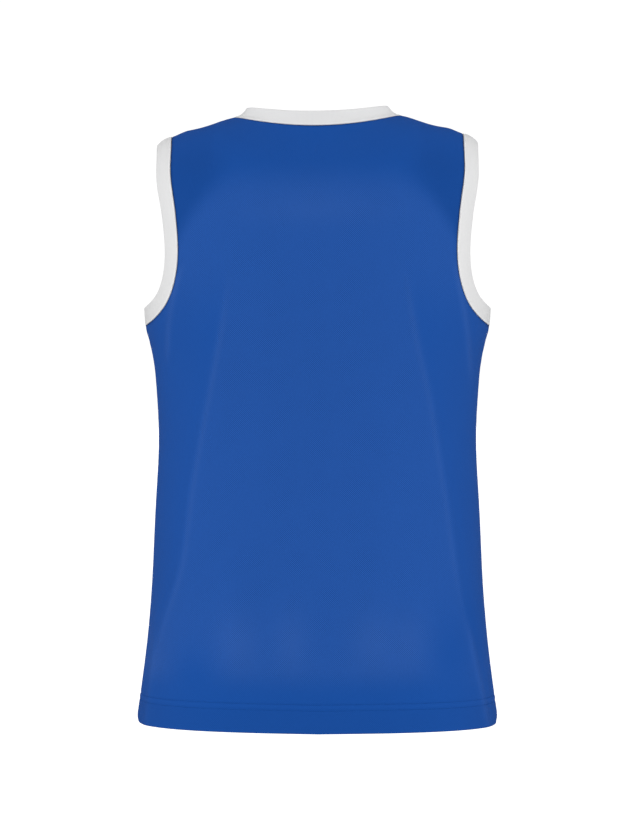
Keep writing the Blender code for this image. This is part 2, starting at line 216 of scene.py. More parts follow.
def lengths_along(net, axis):
    """How far each point of a net lies from the net's first row or column."""
    steps = np.linalg.norm(np.diff(net, axis=axis), axis=-1)
    start = np.zeros_like(np.take(steps, [0], axis=axis))
    return np.concatenate((start, np.cumsum(steps, axis=axis)), axis=axis)


def even(start, end, step):
    """Even steps from start to end, of about the length step, with both ends."""
    return np.linspace(start, end, max(1, round(abs(end - start) / step)) + 1)


def wobble(places, waves):
    """A sum of sines: waves are (length, height, phase)."""
    total = np.zeros(np.shape(places))
    for length, height, phase in waves:
        total += height * np.sin(2.0 * math.pi * (places / length) + phase)
    return total


def bell(away):
    """1 where away is 0, falling off to both sides."""
    return np.exp(-np.square(away))


def past(value, blur):
    """0 where a value is below 0, 1 above it, and smooth within blur of it."""
    return smooth_step(value / (2.0 * blur) + 0.5)


def read(points, lengths, places):
    """A line of points that lie at lengths along it, read at places."""
    return np.stack([np.interp(places, lengths, points[:, axis]) for axis in range(3)], axis=-1)


def evened(line, reach, beyond):
    """A line of points, each the mean of its neighbours within reach points, twice over.
    Beyond its ends the line stands still ("edge") or goes round ("wrap")."""
    for _ in range(2):
        total = np.cumsum(np.pad(line, ((reach + 1, reach), (0, 0)), mode=beyond), axis=0)
        line = (total[2 * reach + 1:] - total[:-2 * reach - 1]) / (2 * reach + 1)
    return line


# --- The form of a panel ---


def body_form(panel, heights):
    """Half width, depth and squareness of the body's bow at the given heights."""
    knots = [level.height for level in BODY]
    return [spline(knots, [getattr(level, column) for level in BODY], heights)
            for column in ("half_width", panel, "square")]


def bow_depth(x, half_width, depth, square):
    """Depth of a superellipse at x, and half a seam's gap where it has none."""
    share = np.clip(1.0 - (x / half_width) ** square, 0.0, 1.0)
    return np.maximum(depth * share ** (1.0 / square), SEAM_GAP / 2.0)


def bow_angles(across, half_width, depth, square, edge_depth):
    """Angles on a superellipse, even along its arc from the middle to edge_depth."""
    power = 2.0 / square
    angles = np.linspace(0.0, math.acos((edge_depth / depth) ** (1.0 / power)), BOW_SAMPLES)
    arc = np.stack((half_width * np.sin(angles) ** power, depth * np.cos(angles) ** power), -1)
    lengths = lengths_along(arc, 0)
    return np.interp(np.abs(across) * lengths[-1], lengths, angles)


def edge_shares(length):
    """The close steps at the end of a run of some length, as shares of it up to 1."""
    return 1.0 - np.array(EDGE_STEPS[::-1]) / length


def column_places():
    """Where the net's columns are, from -1 at one edge of a panel to 1 at the other."""
    edge = edge_shares(HALF_ARC)
    half = np.concatenate((even(0.0, STRAP, CELL / HALF_ARC),
                           even(STRAP, edge[0], CELL / HALF_ARC)[1:], edge[1:]))
    return np.concatenate((-half[:0:-1], half))


def row_places(knots):
    """Where the body's rows are, in metres up from the hem; close at the hem's edge, at
    its needle lines and above the underarm."""
    low, high = HEM_LINES
    places = [np.array(EDGE_STEPS)]
    for end, step in ((low - NEEDLE_ROWS[0] * NEEDLE_STEP, CELL),
                      (high + NEEDLE_ROWS[1] * NEEDLE_STEP, NEEDLE_STEP),
                      (knots[UNDERARM], CELL), (knots[UNDERARM] + CLOSE_ROWS, CLOSE_STEP),
                      (knots[-1], CELL)):
        places.append(even(places[-1][-1], end, step)[1:])
    return np.concatenate(places)


def with_corner(knots, values, places):
    """Values read at places, straight up to the underarm and a spline from there."""
    straight = np.interp(places, knots[:UNDERARM + 1], values[:UNDERARM + 1])
    curved = spline(knots[UNDERARM:], values[UNDERARM:], places)
    return np.where(places <= knots[UNDERARM] + HAIR, straight, curved)


def body_net(panel, across):
    """The net from the hem to half the armhole's height, and its row at the underarm."""
    rows = [Row(level.name, level.half_width, level.height, level.height)
            for level in BODY[:UNDERARM + 1]]
    rows.extend(PANELS[panel].rows)
    edge_x, edge_z, middle_z = np.array([row[1:] for row in rows]).T
    edge = np.stack((edge_x, bow_depth(edge_x, *body_form(panel, edge_z)), edge_z), axis=-1)
    middle = np.stack((body_form(panel, middle_z)[1], middle_z), axis=-1)
    knots = (lengths_along(edge, 0) + lengths_along(middle, 0)) / 2.0
    places = row_places(knots)
    net = []
    for place, middle_height, side_height, side_x in zip(
            places, spline(knots, middle_z, places), with_corner(knots, edge_z, places),
            with_corner(knots, edge_x, places)):
        z = middle_height + (side_height - middle_height) * across ** 2
        width, depth, square = body_form(panel, z)
        side = (width[-1], depth[-1], square[-1])
        sewn = place <= knots[UNDERARM] + HAIR
        side_depth = SEAM_GAP / 2.0 if sewn else float(bow_depth(side_x, *side))
        angle = bow_angles(across, *side, side_depth)
        x = np.sign(across) * width * np.sin(angle) ** (2.0 / square)
        drop = HEM_DROP * (1.0 - np.abs(across)) ** 2 + HEM_SIDE_DROP * across ** 2
        drop += HEM_TILT * across
        z = z - drop * smooth_step(1.0 - place / HEM_DROP_FADE)
        net.append(np.stack((x, depth * np.cos(angle) ** (2.0 / square), z), axis=-1))
    return np.array(net), int(np.argmin(np.abs(places - knots[UNDERARM])))


def strap_shares(across):
    """How far round the neckline each column is, up to a quarter turn, and how far out
    along the shoulder seam, from 0 to 1."""
    out = np.abs(across)
    return (np.clip(out / STRAP, 0.0, 1.0) * math.pi / 2.0,
            np.clip((out - STRAP) / (1.0 - STRAP), 0.0, 1.0))


def top_line(across, neckline, toward):
    """The panel's top edge: shoulder seam, neckline and shoulder seam."""
    seam_depth = toward * HIGH_SHOULDER[1] + SEAM_GAP / 2.0
    turn, out = strap_shares(across)
    scoop = np.where(np.abs(across) < STRAP - HAIR, np.cos(turn), 0.0)
    x = HIGH_SHOULDER[0] * np.sin(turn) + (SHOULDER_TIP[0] - HIGH_SHOULDER[0]) * out
    depth = seam_depth + (neckline.depth - seam_depth) * scoop ** neckline.depth_power
    dip = (neckline.height - HIGH_SHOULDER[2]) * scoop ** neckline.height_power
    z = HIGH_SHOULDER[2] + dip + (SHOULDER_TIP[2] - HIGH_SHOULDER[2]) * out
    return np.stack((np.sign(across) * x, depth, z), axis=-1)


def arrival_directions(across, arrival):
    """The direction of each column where it reaches the top line."""
    turn, out = (share[:, None] for share in strap_shares(across))
    middle, high_shoulder, tip = np.array(arrival)
    inner = unit(middle * np.cos(turn) + high_shoulder * np.sin(turn))
    directions = inner * (1.0 - out) + unit(tip) * out
    directions[:, 0] *= np.sign(across)
    return unit(directions)


def crest_net(lower, upper, top, directions):
    """Rows that carry the cloth from the row called upper over the shoulder to top."""
    edge = edge_shares(CREST_CHORD)
    away = unit(upper - lower)
    reach = round(CORNER_REACH / CELL / 2.0)
    soft_top = evened(top, reach, "edge")
    soft_directions = unit(evened(directions, reach, "edge"))
    rows = []
    for t in np.concatenate((even(0.0, edge[0], CELL / CREST_CHORD)[1:], edge[1:])):
        near = smooth_step(t)
        goal = soft_top + (top - soft_top) * near
        arrival = unit(soft_directions + (directions - soft_directions) * near)
        pull = np.linalg.norm(goal - upper, axis=-1, keepdims=True) * ARRIVAL_PULL
        bend = t * (1.0 - t) ** 2 * away - t ** 2 * (1.0 - t) * arrival
        rows.append(upper + (goal - upper) * near + bend * pull)
    return np.array(rows)


# Small places where the cloth leaves the solids' form, on both sides alike: the place
# (|x|, |y|, z), how far a point there goes outward and up, and the reaches over which that
# fades. Corners that are sewn or turned over are never sharp, the armholes bow out a
# little below the shoulder, and the shoulder seam sags and rises before the band.
Nudge = namedtuple("Nudge", "place outward up reach")
NUDGES = (
    Nudge((0.1980, 0.0000, -0.2520), 0.0008, 0.0000, (0.006, 0.006, 0.006)),
    Nudge((0.2098, 0.0000, -0.7073), -0.0030, 0.0012, (0.012, 0.060, 0.006)),
    Nudge((0.1650, 0.0700, -0.0720), 0.0030, 0.0000, (0.034, 0.034, 0.034)),
    Nudge((0.1270, 0.0080, -0.0130), 0.0000, -0.0010, (0.016, 0.016, 0.016)),
    Nudge((0.1530, 0.0080, -0.0220), 0.0000, 0.0014, (0.010, 0.014, 0.010)),
)


def folded(net):
    """A net laid together, left on right and back on front."""
    return np.concatenate((np.abs(net[..., :2]), net[..., 2:]), axis=-1)


def nudged(net):
    """A panel's net, with its small departures from the solids' form."""
    shift = np.zeros(net.shape)
    for nudge in NUDGES:
        away = np.linalg.norm((folded(net) - nudge.place) / nudge.reach, axis=-1)
        shift += bell(away)[..., None] * (nudge.outward, 0.0, nudge.up)
    shift[..., 0] *= np.sign(net[..., 0])
    return net + shift


def tilt(points):
    """Raise the shoulders a little towards +X."""
    share = smooth_step((points[..., 2] - TILT_FADE_HEIGHT) / -TILT_FADE_HEIGHT)
    tilted = points.copy()
    tilted[..., 2] += SHOULDER_TILT * points[..., 0] * share
    return tilted


# --- Folds, creases and puckers ---

# A crease runs through points (x, z), from its top down. It is a soft ridge of the half
# breadth width and the height height, which rises over the share end of its run at both
# ends. Its top gets a painted highlight where light is more than 0. The broad ones are the solids'
# folds. The narrow ones are too slight for them.
Crease = namedtuple("Crease", "width height end light points")
BACK_LEFT = ((-0.098, -0.170), (-0.106, -0.238), (-0.118, -0.305), (-0.132, -0.379),
             (-0.143, -0.446), (-0.158, -0.540), (-0.173, -0.583), (-0.191, -0.645))
BACK_RIGHT = ((0.096, -0.165), (0.102, -0.209), (0.113, -0.271), (0.127, -0.333),
              (0.137, -0.395), (0.146, -0.452), (0.158, -0.536), (0.173, -0.600))
FRONT_LEFT = ((-0.094, -0.190), (-0.108, -0.290), (-0.128, -0.390), (-0.146, -0.520),
              (-0.166, -0.630))
FRONT_RIGHT = ((0.100, -0.200), (0.112, -0.300), (0.124, -0.380), (0.146, -0.520),
               (0.164, -0.625))
CREASES = {
    "back": (
        Crease(0.030, 0.0040, 0.33, 0.0, BACK_LEFT),
        Crease(0.030, 0.0036, 0.33, 0.0, BACK_RIGHT),
        Crease(0.024, 0.0040, 0.30, 0.0, ((-0.091, -0.500), (-0.089, -0.665))),
        Crease(0.022, 0.0034, 0.30, 0.0, ((-0.033, -0.520), (-0.029, -0.660))),
        Crease(0.026, 0.0040, 0.30, 0.0, ((0.058, -0.510), (0.062, -0.665))),
        Crease(0.022, 0.0034, 0.30, 0.0, ((0.106, -0.530), (0.110, -0.665))),
        Crease(0.0050, 0.0012, 0.22, 0.95, BACK_LEFT),
        Crease(0.0050, 0.0012, 0.22, 0.85, BACK_RIGHT),
        Crease(0.0060, 0.0007, 0.25, 1.10, ((-0.148, -0.170), (-0.1625, -0.212),
        (-0.1680, -0.240), (-0.1715, -0.300))),
        Crease(0.0060, 0.0007, 0.25, 1.10, ((0.1530, -0.165), (0.1630, -0.215),
        (0.1695, -0.250), (0.1760, -0.325))),
        Crease(0.0060, 0.0012, 0.30, 1.10, ((0.1660, -0.570), (0.1810, -0.640),
        (0.1985, -0.730))),
        Crease(0.0080, 0.0010, 0.30, 0.40, ((-0.1830, -0.590), (-0.1990, -0.740))),
    ),
    "front": (
        Crease(0.032, 0.0038, 0.33, 0.0, FRONT_LEFT),
        Crease(0.030, 0.0040, 0.33, 0.0, FRONT_RIGHT),
        Crease(0.026, 0.0034, 0.30, 0.0, ((0.078, -0.480), (0.070, -0.665))),
        Crease(0.024, 0.0030, 0.30, 0.0, ((-0.016, -0.520), (-0.012, -0.660))),
        Crease(0.026, 0.0036, 0.30, 0.0, ((-0.088, -0.500), (-0.085, -0.665))),
        Crease(0.0050, 0.0012, 0.22, 0.90, FRONT_LEFT),
        Crease(0.0050, 0.0012, 0.22, 0.90, FRONT_RIGHT),
        Crease(0.0045, 0.0011, 0.25, 1.00, ((-0.143, -0.180), (-0.1610, -0.220),
        (-0.1670, -0.250), (-0.1710, -0.330))),
        Crease(0.0045, 0.0010, 0.25, 1.00, ((0.145, -0.170), (0.1600, -0.215),
        (0.1680, -0.255), (0.1740, -0.310))),
    ),
}
CREASE_HIGHLIGHT_WIDTH = 0.0036

# The knit's tightness sets how strongly its dimples show, and it carries painted light and shade:
# the knit is painted lighter, as if drawn tight and lit, between the long creases, below the
# shoulders and above the hem, and darker in painted shade on the slack yoke, at the sides and
# on the hem. Soft patches of painted highlight and painted shade sit over the seat.
TIGHT_LIT_TOP = -0.080          # where the slack yoke, painted in shade, ends at the middle of the back
TIGHT_LIT_SHOULDER = (0.082, 0.085, 0.085)      # start, breadth and depth of its fall at the sides
TIGHT_LIT_TOP_BLUR = 0.021
TIGHT_LIT_FOOT = -0.648
TIGHT_LIT_FOOT_BLUR = 0.018
TIGHT_LIT_SIDE = 0.28           # how tight and lit the knit is painted outside the long creases, which puts the sides in painted shade
TIGHT_LIT_CREASE_BLUR = 0.0025
TIGHT_LIT_CREASE_FADE = 0.10    # height over which a long crease begins to part the two
TIGHT_LIT_LINES = {"back": (BACK_LEFT, BACK_RIGHT), "front": (FRONT_LEFT, FRONT_RIGHT)}
# How tight and lit the hem is painted: slack, and in painted shade.
SLACK_SHADED_HEM = 0.05
# Patches of painted highlight, where their last number is more than 0, and of painted shade, where
# it is less.
Patch = namedtuple("Patch", "x z across up tight")
PAINTED_LIGHT_PATCHES = {
    "back": (
        Patch(0.000, -0.119, 0.085, 0.018, 0.55),
        Patch(-0.090, -0.606, 0.024, 0.034, 0.85),
        Patch(-0.030, -0.604, 0.020, 0.034, 0.75),
        Patch(0.062, -0.604, 0.024, 0.034, 0.80),
        Patch(0.104, -0.606, 0.020, 0.032, 0.75),
        Patch(-0.140, -0.650, 0.032, 0.036, -0.95),
        Patch(-0.192, -0.640, 0.022, 0.050, 0.80),
        Patch(0.154, -0.622, 0.034, 0.058, -0.90),
    ),
    "front": (
        Patch(0.010, -0.560, 0.070, 0.050, 0.35),
        Patch(-0.088, -0.600, 0.024, 0.036, 0.50),
        Patch(0.074, -0.598, 0.024, 0.036, 0.45),
        Patch(0.150, -0.640, 0.030, 0.045, -0.45),
    ),
}

# Painted shade on the cloth, as a share of its lightness.
YOKE_SHADE = 0.15           # on the slack knit beside the armholes,
YOKE_SHADE_SPEED = 1.4      # coming in this much faster than the yoke falls away there,
YOKE_SHADE_TOP = -0.020     # and from here down
YOKE_SHADE_FALL = 0.050
SEAM_SHADE = 0.55           # painted shade beside a band's seam or a shoulder's
SEAM_SHADE_WIDTH = 0.0019
HEM_SHADE = 0.055           # painted shade on the doubled hem
# Painted shade round the corners at the underarms.
UNDERARM_SHADE = 0.14
UNDERARM_SHADE_REACH = 0.013

# Slow waves that no worn cloth is without: (length, height, phase) along x and along z.
SLOW_ACROSS = ((0.071, 0.00022, 0.4), (0.113, 0.00030, 2.1), (0.047, 0.00010, 4.0))
SLOW_UP = ((0.134, 1.0, 0.9), (0.087, 0.6, 3.3))
SLOW_SHARES = (0.6, 0.4)    # their usual height, and how much it comes and goes up the body
SLOW_EDGE = 0.020           # distance from an edge at which they are whole
# Puckers where the cloth is sewn to a band, along the seam.
PUCKERS = ((0.0140, 0.00016, 0.2), (0.0098, 0.00012, 1.9), (0.0225, 0.00014, 3.7))
PUCKER_REACH = 0.009
PUCKER_START = 0.0015
SIDE_PUCKERS = 0.45         # share of them at the side seams
TOP_PUCKERS = 0.60          # and at the top
CORNER_STILL = 0.90         # share of them that the underarm's corner takes away
CORNER_FADE = 0.012


def crease_relief(net, panel, sides):
    """How far the creases stand out at each point of a net."""
    lengths = lengths_along(net, 1)
    order = 1 if net[0, -1, 0] > net[0, 0, 0] else -1
    rise = np.zeros(lengths.shape)
    for crease in CREASES[panel]:
        beside = net[..., 0] - crease_line(crease.points, net[..., 2])
        fade = crease_fade(crease, net[..., 2])
        for i in np.nonzero(fade.max(axis=1) > 0.0)[0]:
            at = np.interp(0.0, beside[i, ::order], lengths[i, ::order])
            ridge = bell((lengths[i] - at) / crease.width)
            rise[i] += crease.height * fade[i] * ridge * smooth_step(sides[i] / crease.width)
    return rise


def crease_line(points, z):
    """Where a crease is across the body at each height, straight on past its ends."""
    crease_x, crease_z = np.array(points)[::-1].T
    slope = (crease_x[-1] - crease_x[0]) / (crease_z[-1] - crease_z[0])
    inside = np.clip(z, crease_z[0], crease_z[-1])
    return spline(crease_z, crease_x, inside) + slope * (z - inside)


def crease_fade(crease, z):
    """How much of a crease's height there is at each height of the body."""
    share = (z - crease.points[-1][1]) / (crease.points[0][1] - crease.points[-1][1])
    return smooth_step(share / crease.end) * smooth_step((1.0 - share) / crease.end)


def below_shaded_yoke(x, z):
    """0 in the slack yoke, which is painted in shade, 1 below it."""
    start, breadth, fall = TIGHT_LIT_SHOULDER
    foot = TIGHT_LIT_TOP - fall * (np.maximum(np.abs(x) - start, 0.0) / breadth) ** 2
    return past(foot - z, TIGHT_LIT_TOP_BLUR)


def tightness_and_painted_light(net, panel):
    """How tight the knit is drawn at each point of a net, and how lit it is painted: 0 slack
    and in painted shade, 1 tight and lit, a little more where painted highlights lie."""
    x, z = net[..., 0], net[..., 2]
    # Painted light below the yoke, and painted shade on the yoke, at the sides and on the hem.
    tight = below_shaded_yoke(x, z)
    for side, points in zip((-1.0, 1.0), TIGHT_LIT_LINES[panel]):
        outside = past((x - crease_line(points, z)) * side, TIGHT_LIT_CREASE_BLUR)
        outside *= smooth_step((points[0][1] - z) / TIGHT_LIT_CREASE_FADE)
        tight -= (1.0 - TIGHT_LIT_SIDE) * outside * tight
    foot = past(z - TIGHT_LIT_FOOT, TIGHT_LIT_FOOT_BLUR)
    tight = SLACK_SHADED_HEM + (tight - SLACK_SHADED_HEM) * foot
    # Patches of painted highlight and painted shade.
    for patch in PAINTED_LIGHT_PATCHES[panel]:
        spot = bell((x - patch.x) / patch.across) * bell((z - patch.z) / patch.up)
        tight += patch.tight * spot * foot
    # A painted highlight along the top of each crease.
    for crease in CREASES[panel]:
        ridge = bell((x - crease_line(crease.points, z)) / CREASE_HIGHLIGHT_WIDTH)
        tight += crease.light * crease_fade(crease, z) * ridge
    return tight


def painted_shade(net):
    """How much painted shade darkens the cloth at each point of a net, beside what its tightness
    and painted light give.
    """
    x, z = net[..., 0], net[..., 2]
    start, breadth, _ = TIGHT_LIT_SHOULDER
    beside = smooth_step((np.abs(x) - start) / breadth * YOKE_SHADE_SPEED)
    beside *= smooth_step((YOKE_SHADE_TOP - z) / YOKE_SHADE_FALL)
    # Painted shade beside the armholes, along the seams, round the underarms and on the hem.
    light = 1.0 - YOKE_SHADE * beside * (1.0 - below_shaded_yoke(x, z))
    sides, top_gap, hem_gap = edge_distances(net)
    banded = np.where(z > BODY[UNDERARM].height, np.minimum(sides, top_gap), 1.0)
    light *= 1.0 - SEAM_SHADE * bell(banded / SEAM_SHADE_WIDTH)
    corner = (BODY[UNDERARM].half_width, 0.0, BODY[UNDERARM].height)
    away = np.linalg.norm(folded(net) - corner, axis=-1)
    light *= 1.0 - UNDERARM_SHADE * bell(away / UNDERARM_SHADE_REACH)
    return light * (1.0 - HEM_SHADE * smooth_step((HEM_LINES[0] - hem_gap) / NEEDLE_STEP))


def nearest(net, line):
    """The distance of each point of a net to the nearest point of a line."""
    best = np.full(net.shape[:-1], np.inf)
    for point in line:
        best = np.minimum(best, np.linalg.norm(net - point, axis=-1))
    return best


def edge_distances(net):
    """Distances of each point of a panel's net to its sides, top and hem."""
    sides = nearest(net, np.concatenate((net[:, 0], net[:, -1])))
    return sides, nearest(net, net[-1]), lengths_along(net, 0)


def puckered(gap):
    """How strong the puckers are at a distance from their seam."""
    return np.exp(-gap / PUCKER_REACH) * smooth_step(gap / PUCKER_START)


def relief(net, panel):
    """How far creases, slow waves and puckers raise each point of a net."""
    sides, top_gap, hem_gap = edge_distances(net)
    rise = crease_relief(net, panel, sides)
    usual, swing = SLOW_SHARES
    slow = wobble(net[..., 0], SLOW_ACROSS) * (usual + swing * wobble(net[..., 2], SLOW_UP))
    rise += slow * smooth_step(np.minimum(sides, top_gap) / SLOW_EDGE)
    over_corner = (net[..., 2] - BODY[UNDERARM].height) / CORNER_FADE
    share = SIDE_PUCKERS + (1.0 - SIDE_PUCKERS) * smooth_step(over_corner)
    share *= 1.0 - CORNER_STILL * bell(over_corner)
    rise += wobble(hem_gap, PUCKERS) * puckered(sides) * share
    return rise + wobble(lengths_along(net, 1), PUCKERS) * puckered(top_gap) * TOP_PUCKERS


def panel_net(name):
    """The net of one panel's inner face, from the hem up, its normals before any relief,
    its row at the underarm and its first row over the shoulder."""
    panel, across = PANELS[name], column_places()
    body, underarm = body_net(name, across)
    crest = crest_net(body[-1 - round(ARRIVAL_STEP / CELL)], body[-1],
                      top_line(across, panel.neckline, panel.toward),
                      arrival_directions(across, panel.arrival))
    net = np.concatenate((body, crest))
    net[..., 1] *= panel.toward
    net = nudged(net)
    if name == "front":
        net = net[:, ::-1]
    normals = net_normals(net)
    return tilt(net + normals * relief(net, name)[..., None]), normals, underarm, len(body)


def rolled(distance, radius):
    """0 at an edge and 1 from radius on, round between."""
    return np.sqrt(1.0 - (1.0 - np.clip(distance / radius, 0.0, 1.0)) ** 2)


def panel_walls(net):
    """How far a panel's outer and inner faces lie outside its net."""
    sides, top_gap, hem_gap = edge_distances(net)
    seam = rolled(np.minimum(sides, top_gap), SEAM_ROLL)
    low, high = HEM_LINES
    between = (hem_gap - (low + high) / 2.0) / (high - low)
    wall = PANEL_WALL - SEAM_EDGE + TUNNEL_RISE * bell(between / TUNNEL_BREADTH)
    for line in HEM_LINES:
        wall -= NEEDLE_GROOVE * bell((hem_gap - line) / NEEDLE_SPREAD)
    outer = SEAM_EDGE + wall * seam
    inner = -HEM_TURN_WALL * smooth_step((HEM_TURN - hem_gap) / NEEDLE_STEP) * seam
    middle = (PANEL_WALL - HEM_TURN_WALL) / 2.0
    hem = rolled(hem_gap, HEM_ROLL)
    beyond = np.where(hem_gap < HEM_TURN, hem, 1.0)
    return middle + (outer - middle) * hem, middle + (inner - middle) * beyond


# --- Bands ---


def joined_loop(first, second):
    """A closed loop along first and on along second, each end shared with the other."""
    start = (first[0] + second[-1]) / 2.0
    turn = (first[-1] + second[0]) / 2.0
    return np.vstack((start, first[1:-1], turn, second[1:-1]))


def evenly(loop, facing):
    """A closed loop and the directions along it, read again at even steps."""
    closed, turned = (np.vstack((points, points[:1])) for points in (loop, facing))
    lengths = lengths_along(closed, 0)
    places = np.linspace(0.0, lengths[-1], round(lengths[-1] / BAND_STEP) + 1)[:-1]
    return read(closed, lengths, places), unit(read(turned, lengths, places))


def band_shares(width):
    """Where the rows of a band are, from 0 at its seam to 1 at its fold."""
    end = edge_shares(width)
    inner = even(1.0 - end[0], end[0], BAND_CELL / width)[1:-1]
    return np.concatenate((1.0 - end[::-1], inner, end))


def band_frame(loop, normals):
    """The direction, at each point of a loop, in which the cloth goes on past it."""
    along = unit(np.roll(loop, -2, axis=0) - np.roll(loop, 2, axis=0))
    outward = unit(np.cross(normals, along))
    if np.sum(outward * (loop.mean(axis=0) - loop)) < 0.0:
        outward = -outward
    return unit(evened(outward, FRAME_REACH, "wrap"))


def band_net(loop, normals, outward, lifts, width):
    """Rows of points that continue the cloth past a closed edge, turning by lifts."""
    overhang = np.maximum(np.sum(normals * outward, axis=-1, keepdims=True), 0.0)
    row = loop + outward * (SEAM_GAP + overhang * PANEL_WALL)
    shares = band_shares(width)
    rows = [row]
    for before, after in zip(shares, shares[1:]):
        turn = max(0.0, BAND_TURN * (before + after) / 2.0 - BAND_STRAIGHT)
        row = row + unit(outward + lifts * turn) * width * (after - before)
        rows.append(row)
    net = np.array(rows)
    along = np.roll(net[0], -1, axis=0) - net[0]
    if np.sum(np.cross(along, net[-1] - net[0]) * normals) < 0.0:
        net = net[:, ::-1]
    return net, shares * width


def neck_lifts(loop):
    """How much the neck band turns up at each point of the neckline."""
    lifts = np.zeros(loop.shape)
    lifts[:, 2] = np.interp(loop[:, 1] - HIGH_SHOULDER[1],
                            (-BACK_NECKLINE.depth, 0.0, FRONT_NECKLINE.depth),
                            (NECK_BACK_LIFT, NECK_SIDE_LIFT, NECK_FRONT_LIFT))
    return lifts


def armhole_lifts(loop):
    """How an armhole band droops at the shoulder tip and closes in on the arm."""
    top = smooth_step(1.0 - (SHOULDER_TIP[2] - loop[:, 2]) / ARMHOLE_TIP_REACH)
    low = smooth_step(1.0 - (loop[:, 2] - BODY[UNDERARM].height) / UNDERARM_REACH)
    sway = np.clip(loop[:, 1] / ARMHOLE_HUG_DEPTH, -1.0, 1.0)
    lifts = np.zeros(loop.shape)
    lifts[:, 0] = UNDERARM_FLARE * np.sign(loop[:, 0]) * low
    lifts[:, 1] = -ARMHOLE_HUG * sway * (1.0 - top)
    lifts[:, 2] = -ARMHOLE_TIP_DROOP * top
    return lifts


def band_walls(places, width):
    """How far a band's outer and inner faces lie outside its net, row by row."""
    from_seam, from_fold = rolled(places, BAND_ROLL), rolled(width - places, BAND_ROLL)
    crown = BAND_CROWN * np.sin(math.pi * np.clip(places / width, 0.0, 1.0))
    half = BAND_WALL / 2.0
    stand = np.minimum(SEAM_STAND + (1.0 - SEAM_STAND) * from_seam, from_fold)
    return (half + (half + crown) * stand)[:, None], (half - half * from_fold)[:, None]


# --- Meshes ---


def grid_faces(number, rows_close, columns_close):
    """Faces over a grid of numbered points, which may close on itself either way."""
    ahead = np.roll(number, -1, axis=0)
    faces = np.stack((number, np.roll(number, -1, axis=1), np.roll(ahead, -1, axis=1), ahead),
                     axis=-1)
    return faces[:None if rows_close else -1, :None if columns_close else -1].reshape(-1, 4)


def smooth_mesh(name, points, faces, cloth_map=None):
    """A smooth mesh, with the places of its points on the cloth laid flat."""
    mesh = bpy.data.meshes.new(name)
    mesh.from_pydata(points.reshape(-1, 3).tolist(), [], faces)
    mesh.shade_smooth()
    if cloth_map is not None:
        corners = np.zeros(len(mesh.loops), dtype=np.int64)
        mesh.loops.foreach_get("vertex_index", corners)
        flat = cloth_map.reshape(-1, 2)[corners].astype(np.float32)
        mesh.uv_layers.new(name="cloth").data.foreach_set("uv", flat.ravel())
    return mesh


def paint(mesh, tight, light):
    """Give every point of a mesh of blue knit its tightness with its painted light, and its
    painted shade.
    """
    for key, values in (("tightness_and_painted_light", tight), ("painted_shade", light)):
        values = np.broadcast_to(values, len(mesh.vertices)).astype(np.float32)
        mesh.attributes.new(key, "FLOAT", "POINT").data.foreach_set("value", values)


def shell_mesh(name, net, outer, inner, closed, cloth_map):
    """A closed sheet of cloth with the faces outer and inner off its net."""
    normals = net_normals(net, closed)
    points = np.stack([net + normals * wall[..., None] for wall in (outer, inner)])
    top, under = np.arange(points[..., 0].size).reshape(points.shape[:-1])
    faces = [grid_faces(top, False, closed), grid_faces(under, False, closed)[:, ::-1]]
    for row, order in ((0, 1), (-1, -1)):
        rim = np.stack((top[row], under[row]), axis=1)
        faces.append(grid_faces(rim, closed, False)[:, ::order])
    if not closed:
        for column, order in ((0, -1), (-1, 1)):
            rim = np.stack((top[:, column], under[:, column]), axis=1)
            faces.append(grid_faces(rim, False, False)[:, ::order])
    return smooth_mesh(name, points, np.concatenate(faces).tolist(),
                       np.stack((cloth_map, cloth_map)))


def added(name, data):
    """A new object in the scene."""
    thing = bpy.data.objects.new(name, data)
    bpy.context.scene.collection.objects.link(thing)
    return thing


def add_piece(mesh, material, slot_name, *nodes):
    """Put a piece on the body, in place of the solids that it replaces. Its slot name is not used.
    """
    piece = added(mesh.name, mesh)
    mesh.materials.append(material)
    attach(piece, "root")
    if nodes:
        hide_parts(*nodes)
    return piece


# --- Materials ---

# The blue of tight knit in painted light, and of slack knit in painted shade.
TIGHT_LIT_BLUE = (0.0150, 0.0816, 0.3460)
SLACK_SHADED_BLUE = (0.0073, 0.0715, 0.3330)
PALE_RIB = (0.7470, 0.7480, 0.7520)
BLUE_THREAD = (0.0062, 0.0700, 0.3080)
DIMPLE_SHADE = (0.24, 0.80) # how much darker the dimples are in slack and in tight knit
MESH_PITCH = 0.0023         # between two dimples of the micro mesh
WALE_PITCH = 0.00058        # between two wales of the knit
COURSE_PITCH = 0.8 * WALE_PITCH
RIB_PITCH = 0.0015          # between two ribs of a band
LOOP_PITCH = 0.0009         # between two loops along a rib
SHEEN_ROUGHNESS = 0.5
FINE_NOISE = 0.55           # share of each finer layer of noise in the next coarser one
MESH_RELIEF = (0.00022, 0.55)       # a dimple's depth, and how strongly it is shown
MESH_PARTS = (-1.0, 0.16, 0.25)     # dimples, loops and fuzz, as shares of that depth
RIB_RELIEF = (0.00014, 0.50)
RIB_PARTS = (1.0, 0.25, 0.30)       # ribs, loops and fuzz
THREAD_RELIEF = (0.00008, 0.50)
DIMPLE_MEAN = 0.2           # of the dimples' pattern over the whole cloth
# How light the cloth is where its pattern, painted highlight and painted shade are lowest and
# highest.
MESH_CLOUDS = (0.975, 1.025)
MESH_FUZZ = (0.965, 1.035)
RIB_LIGHT = (0.965, 1.010)
RIB_CLOUDS = (0.985, 1.015)
RIB_SEAM_HIGHLIGHT = (1.0, 1.06)
RIB_FOLD_SHADE = (1.0, 0.96)
RIB_LINE_WIDTH = 0.0012     # of the painted highlight along a band's seam and the painted shade along its fold
RIB_SEAM_PLACE = 0.0008
THREAD_LIGHT = (0.90, 1.08)


